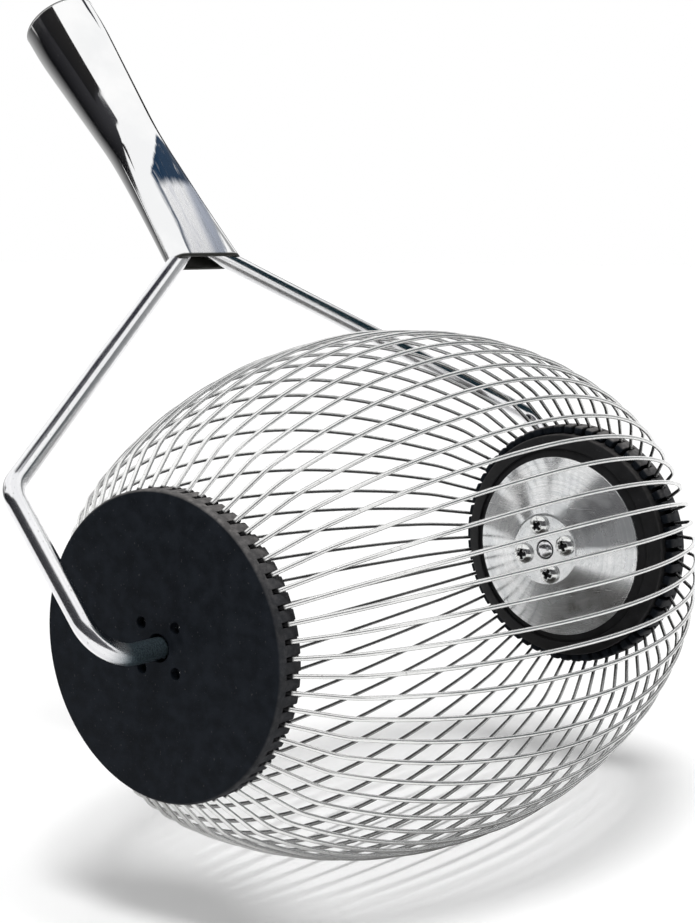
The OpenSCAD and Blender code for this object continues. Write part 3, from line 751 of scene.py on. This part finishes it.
# bars along the axle that cut the screw holes
def holeBars(form, hub, sideName):
    t = np.linspace(0, 2 * math.pi, form["holeSides"], endpoint=False)
    a = np.radians(form["screwTurn"][sideName] + 90 * np.arange(4)) * hub["sign"]
    r = np.array([0, form["screwHole"], form["screwHole"], 0])[:, None]
    x = form["screwCircle"] * np.cos(a)[:, None, None] + r * np.cos(t)
    z = form["screwCircle"] * np.sin(a)[:, None, None] + r * np.sin(t)
    low, top = -form["overrun"], form["flange"] + form["overrun"]
    high = np.array([low, low, top, top])[:, None]
    y = hub["sign"] * (hub["half"] - high)
    return axle + mm * np.stack(np.broadcast_arrays(x, y, z), -1)


# piece with the cutter's volume taken out of its mesh
def cutAway(piece, cutter, sharp=40):
    cut = piece.modifiers.new("holes", "BOOLEAN")
    cut.operation = "DIFFERENCE"
    cut.solver = "EXACT"
    cut.object = cutter
    bpy.context.view_layer.update()
    done = piece.evaluated_get(bpy.context.evaluated_depsgraph_get())
    piece.modifiers.clear()
    piece.data = bpy.data.meshes.new_from_object(done)
    piece.data.set_sharp_from_angle(angle=math.radians(sharp))
    bpy.data.objects.remove(cutter)


discLook = {"dark": (0.0045, 0.0064, 0.0094, 1), "pale": (0.0112, 0.0140, 0.0188, 1),
            "dust": (0.24, 0.228, 0.222, 1), "mottleScale": 210, "grainScale": 2200, "dustScale": 420,
            # painted light: the rim's dust is weighted towards the top, standing in for light from above
            "dustFrom": 49.0, "dustTo": 49.9, "dustShare": 0.80, "topLightLow": 0.22, "dustThin": 0.50,
            "topLightShare": 0.3, "fleckScale": 1100, "fleckShare": 0.10, "rough": 0.64, "roughSpread": 0.16,
            "bump": 0.55, "depth": 0.00012, "gloss": 0.09}
discMaterial = plasticMaterial("discPlastic", discLook)
for sideName, hub in hubs.items():
    disc = surfacePiece(sideName + "Disc", slottedDisc(discForm, hub)[None], True, True)
    cutAway(disc, surfacePiece("holeBars", holeBars(discForm, hub, sideName), wrapCols=True))
    settlePiece(disc, discMaterial, "roller", sideName + "_disc")
print("discs done")

# clamp cones and cone plates: closed outlines, radius and height, carried once round the axle
clampForm = {"slope": 23.5, "outer": 46.4, "base": 4.5, "shoulder": 13.1, "bore": 3.55, "recess": 40.5,
             "plate": 37.3, "flat": 14.6, "sheet": 1.1, "under": 0.08, "hole": 4.0, "turns": 240,
             "clampRounds": (0.2, 0.3, 0.6, 0.35, 0.15, 0.3, 0.2), "clampSteps": 6,
             "plateRounds": (0.1, 2.0, 0.2, 0.35, 3.0, 0.2), "plateSteps": 8}
slope = math.tan(math.radians(clampForm["slope"]))


# height of the cone's slope at a radius, falling from the flat to the shoulder
def slopeHeight(radius):
    return clampForm["shoulder"] + (clampForm["outer"] - radius) * slope


topHeight = slopeHeight(clampForm["flat"])
seatHeight = topHeight - clampForm["sheet"]
plateDrop = clampForm["sheet"] / math.cos(math.radians(clampForm["slope"]))
recessDrop = (clampForm["sheet"] + clampForm["under"]) / math.cos(math.radians(clampForm["slope"]))
clampOutline = roundedLoop(
    [(clampForm["bore"], clampForm["base"]), (clampForm["outer"], clampForm["base"]),
     (clampForm["outer"], clampForm["shoulder"]), (clampForm["recess"], slopeHeight(clampForm["recess"])),
     (clampForm["recess"], slopeHeight(clampForm["recess"]) - recessDrop),
     (clampForm["flat"] - (recessDrop - clampForm["sheet"]) / slope, seatHeight),
     (clampForm["bore"], seatHeight)], clampForm["clampRounds"], clampForm["clampSteps"])
plateOutline = roundedLoop(
    [(clampForm["hole"], seatHeight),
     (clampForm["flat"] - (plateDrop - clampForm["sheet"]) / slope, seatHeight),
     (clampForm["plate"], slopeHeight(clampForm["plate"]) - plateDrop),
     (clampForm["plate"], slopeHeight(clampForm["plate"])), (clampForm["flat"], topHeight),
     (clampForm["hole"], topHeight)], clampForm["plateRounds"], clampForm["plateSteps"])


# outline carried once round the axle
def turnedPiece(name, hub, outline):
    t = np.linspace(0, 2 * math.pi, clampForm["turns"], endpoint=False)
    grid = onHub(hub, outline[:, :1], t[None], outline[:, 1:])
    return surfacePiece(name, grid[None], True, True, sharp=50)


clampLook = dict(discLook, dark=(0.0055, 0.0055, 0.0062, 1), pale=(0.0120, 0.0120, 0.0130, 1),
                 dustFrom=45.6, dustTo=46.4, dustShare=0.3, rough=0.5, grainScale=1800, gloss=0.25)
clampMaterial = plasticMaterial("clampPlastic", clampLook)


# polished steel spun on a lathe: fine rings round the axle, cloudy patches, a few long scratches
def plateMaterial(look):
    material, tree, shader, centred = startMaterial("plateSteel")[:4]
    x, y, z = add(tree, "SeparateXYZ", {0: centred}).outputs
    radius = axleRadius(tree, x, z)
    angle = maths(tree, "ARCTAN2", z, x)
    outwards = maths(tree, "MULTIPLY", radius, look["ringScale"])
    cosine, sine = (maths(tree, "MULTIPLY", maths(tree, way, angle), look["ringRound"])
                    for way in ("COSINE", "SINE"))
    polar = add(tree, "CombineXYZ", {0: outwards, 1: cosine, 2: sine}).outputs[0]
    rings = noise(tree, polar, 1.0, 4.0, 0.6)
    cloud = noise(tree, centred, look["cloudScale"], 5.0, 0.6)
    scratchAt = add(tree, "Mapping", {"Vector": centred, "Rotation": look["scratchTurn"],
                                      "Scale": look["scratchScale"]}).outputs[0]
    scratch = remap(tree, noise(tree, scratchAt, 1.0, 2.0), *noiseSpan["scratch"], 0, 1)
    shade = maths(tree, "ADD", maths(tree, "MULTIPLY", rings, look["ringShare"]),
                  maths(tree, "MULTIPLY", cloud, look["cloudShare"]))
    colour = mixColour(tree, remap(tree, shade, *noiseSpan["even"], 0, 1), look["dark"], look["pale"])
    roughness = maths(tree, "ADD", remap(tree, cloud, *noiseSpan["haze"], *look["rough"]),
                      maths(tree, "MULTIPLY", scratch, look["scratchRough"]))
    height = maths(tree, "ADD", rings, maths(tree, "MULTIPLY", scratch, look["scratchHigh"]))
    finishMaterial(tree, shader, colour, roughness, height, look["bump"], look["depth"])
    metal = remap(tree, cloud, *noiseSpan["even"], look["hazy"], look["clear"])
    tree.links.new(metal, shader.inputs["Metallic"])
    return material


plateLook = {"dark": (0.68, 0.70, 0.71, 1), "pale": (0.95, 0.95, 0.95, 1), "ringScale": 2200,
             "ringRound": 0.7, "ringShare": 0.45, "cloudScale": 75, "cloudShare": 0.55, "hazy": 0.72,
             "clear": 0.96, "rough": (0.11, 0.23), "scratchTurn": (0, 0.6, 0),
             "scratchScale": (60, 60, 1600), "scratchRough": 0.12, "scratchHigh": 0.4, "bump": 0.04,
             "depth": 0.00003}
steelMaterial = plateMaterial(plateLook)
for sideName, hub in hubs.items():
    clamp = turnedPiece(sideName + "ClampCone", hub, clampOutline)
    settlePiece(clamp, clampMaterial, "roller", sideName + "_clamp_cone")
    plate = turnedPiece(sideName + "ConePlate", hub, plateOutline)
    settlePiece(plate, steelMaterial, "roller", sideName + "_cone_plate")
print("clamp cones and plates done")

# pan-head screws: a profile carried round each screw, the cross pressed into the top
screwForm = {"shank": 2.0, "head": 4.1, "high": 2.9, "tip": 2.0, "crossHalf": 2.4,
             "crossWide": 0.55, "crossDeep": 1.5, "soft": 0.28, "turns": 72, "brim": 0.42, "fall": 3.2,
             "fineTo": 0.66, "fineRows": 34, "sideRows": 14,
             "underHead": ((0, 0.35), (0.08, 0.08), (0.25, 0)), "pointLong": 0.5,
             "pointShare": 0.8, "wrap": (0.03, 0.02), "crossTurn": (20.0, 48.0, 5.0, 71.0)}


# head: height falls off as a power of the way from the middle to the side and ends at a brim, then
# the profile goes in under the head, down the shank and to the blunt point
def screwGrid(form, crossTurn):
    share = np.concatenate([np.linspace(0, form["fineTo"], form["fineRows"]),
                            np.linspace(form["fineTo"], 1, form["sideRows"])[1:]])
    dome = form["high"] * (form["brim"] + (1 - form["brim"]) * (1 - share ** form["fall"]))
    shank, tip = form["shank"], form["tip"] - topHeight
    under = np.array(form["underHead"]) * [-1, 1] + [form["head"], 0]
    below = np.array([[shank, 0.0], [shank, tip / 3], [shank, 2 * tip / 3],
                      [shank, tip + form["pointLong"]], [form["pointShare"] * shank, tip], [0.0, tip]])
    r = np.concatenate([share * form["head"], under[:, 0], below[:, 0]])
    h = np.concatenate([dome, under[:, 1], below[:, 1]])
    t = np.linspace(0, 2 * math.pi, form["turns"], endpoint=False)
    x, y = r[:, None] * np.cos(t), r[:, None] * np.sin(t)
    c, s = math.cos(math.radians(crossTurn)), math.sin(math.radians(crossTurn))
    u, v = np.abs(c * x + s * y), np.abs(c * y - s * x)

    def arm(a, b):  # one bar of the cross, with sloping sides
        wide = np.clip((form["crossWide"] + form["soft"] - b) / form["soft"], 0, 1)
        long = np.clip((form["crossHalf"] - a) / (3 * form["soft"]), 0, 1)
        return np.minimum(wide, long)

    cross = np.maximum(arm(u, v), arm(v, u))
    cross = cross * cross * (3 - 2 * cross)
    top = (np.arange(len(r)) < len(share))[:, None]
    return x, y, h[:, None] - form["crossDeep"] * cross * top, cross * top


# four screws over the disc's holes, each with its cross turned its own way
def screwsAt(sideName, hub):
    grids, recesses = [], []
    for k, crossTurn in enumerate(screwForm["crossTurn"]):
        x, y, h, recess = screwGrid(screwForm, crossTurn)
        a = math.radians(discForm["screwTurn"][sideName] + 90 * k)
        px = discForm["screwCircle"] * math.cos(a) + x
        pz = hub["sign"] * discForm["screwCircle"] * math.sin(a) + y
        py = hub["sign"] * (hub["half"] - topHeight - h)
        grids.append(axle + mm * np.stack([px, py, pz], -1))
        recesses.append(recess)
    return np.stack(grids), np.stack(recesses)


screwLook = {"dark": (0.78, 0.79, 0.78, 1), "pale": (0.96, 0.96, 0.95, 1), "speck": (0.20, 0.19, 0.17, 1),
             "lineAlong": 300, "lineAcross": 300, "cloudScale": 380, "speckScale": 1500,
             "speckShare": 0.3, "speckRough": 0.2, "rough": 0.07, "roughSpread": 0.08, "bump": 0.08,
             # the near-black recess colour on the next line is painted shade in the cross
             "depth": 0.00003, "recess": (0.012, 0.012, 0.013, 1)}
screwMaterial = barMaterial("screwSteel", screwLook)
for sideName, hub in hubs.items():
    grid, recess = screwsAt(sideName, hub)
    wrapLong, wrapRound = screwForm["wrap"]
    along = np.broadcast_to(np.linspace(0, wrapLong, grid.shape[1])[None], grid.shape[:2])
    screws = surfacePiece(sideName + "Screws", grid, wrapCols=True, uv=(along, wrapRound), sharp=75,
                          recess=recess)
    settlePiece(screws, screwMaterial, "roller", sideName + "_screws")
print("screws done")
